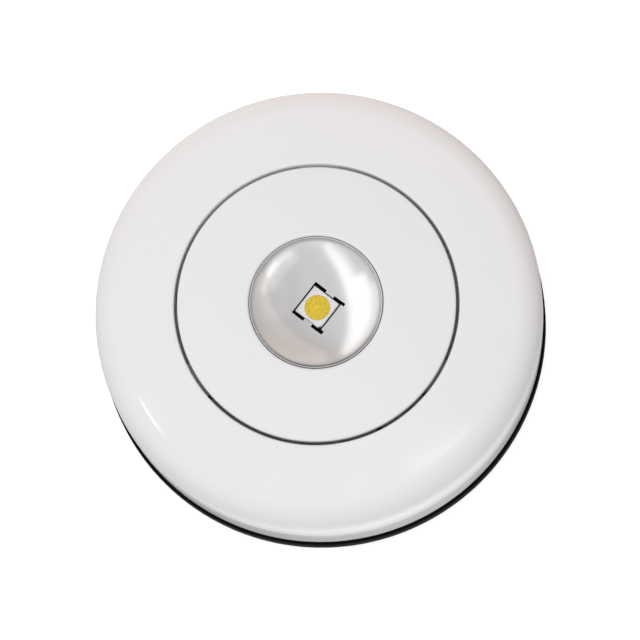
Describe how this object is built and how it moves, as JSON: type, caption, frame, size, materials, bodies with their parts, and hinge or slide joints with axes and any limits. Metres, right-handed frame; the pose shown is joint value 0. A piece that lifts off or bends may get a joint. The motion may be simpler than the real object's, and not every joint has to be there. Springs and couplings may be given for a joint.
{
  "type": "night light",
  "caption": "Round stick-on push light: white domed housing on a black twist-off base, with a press disc round a small satin reflector and one warm emitter.",
  "frame": {"origin": "centre of the adhesive pad's back face, which meets the wall or shelf", "axes": "+Z out of the front through the reflector, +Y up in the picture, +X to the right"},
  "size_m": [0.0706, 0.0706, 0.024],
  "materials": {
    "pad_foam": "closed-cell foam with a paper liner, matt",
    "black_shell": "black ABS, semi-gloss",
    "white_shell": "white ABS, gloss",
    "reflector_metal": "satin vacuum-metallised plastic",
    "white_inner": "white ABS as moulded",
    "screw_steel": "zinc-plated",
    "cell_sleeve": "printed film sleeve, plain",
    "contact_nickel": "nickel-plated",
    "board_mask": "black solder mask",
    "emitter_body": "white moulded package",
    "emitter_leads": "tinned",
    "emitter_phosphor": "silicone filled with yellow phosphor",
    "component_black": "moulded, matt",
    "plunger_plastic": "white acetal",
    "wire_red_sleeve": "PVC sleeve",
    "wire_black_sleeve": "PVC sleeve"
  },
  "bodies": {
    "base": {"adhesive_pad": "pad_foam", "base_plate": "black_shell"},
    "housing": {"front_housing": "white_shell", "battery_tray": "white_inner", "tray_screw_1": "screw_steel", "tray_screw_2": "screw_steel", "tray_screw_3": "screw_steel", "tray_screw_4": "screw_steel", "battery_1": "cell_sleeve", "battery_2": "cell_sleeve", "battery_3": "cell_sleeve", "contact_positive": "contact_nickel", "contact_negative": "contact_nickel", "contact_link_front": "contact_nickel", "contact_link_rear": "contact_nickel", "battery_spring_1": "contact_nickel", "battery_spring_2": "contact_nickel", "battery_spring_3": "contact_nickel", "circuit_board": "board_mask", "board_screw_1": "screw_steel", "board_screw_2": "screw_steel", "led_package": "emitter_body", "led_leads": "emitter_leads", "led_phosphor": "emitter_phosphor", "led_resistor": "component_black", "switch_case": "component_black", "wire_red": "wire_red_sleeve", "wire_black": "wire_black_sleeve"},
    "button": {"push_disc": "white_shell", "reflector_bowl": "reflector_metal"},
    "plunger": {"switch_plunger": "plunger_plastic"}
  },
  "joints": [
    {"name": "housing_twist", "type": "hinge", "parent": "base", "child": "housing", "pos_m": [0, 0, 0], "axis": [0, 0, 1], "range_deg": [0, 15]},
    {"name": "button_press", "type": "slide", "parent": "housing", "child": "button", "axis": [0, 0, -1], "range_m": [0, 0.0012], "stiffness_N_per_m": 1000, "springref_m": -0.0012},
    {"name": "switch_press", "type": "slide", "parent": "housing", "child": "plunger", "axis": [0, 0, -1], "range_m": [0, 0.0012]}
  ],
  "couplings": [
    {"joint": "switch_press", "follows": "button_press", "ratio": 1}
  ]
}
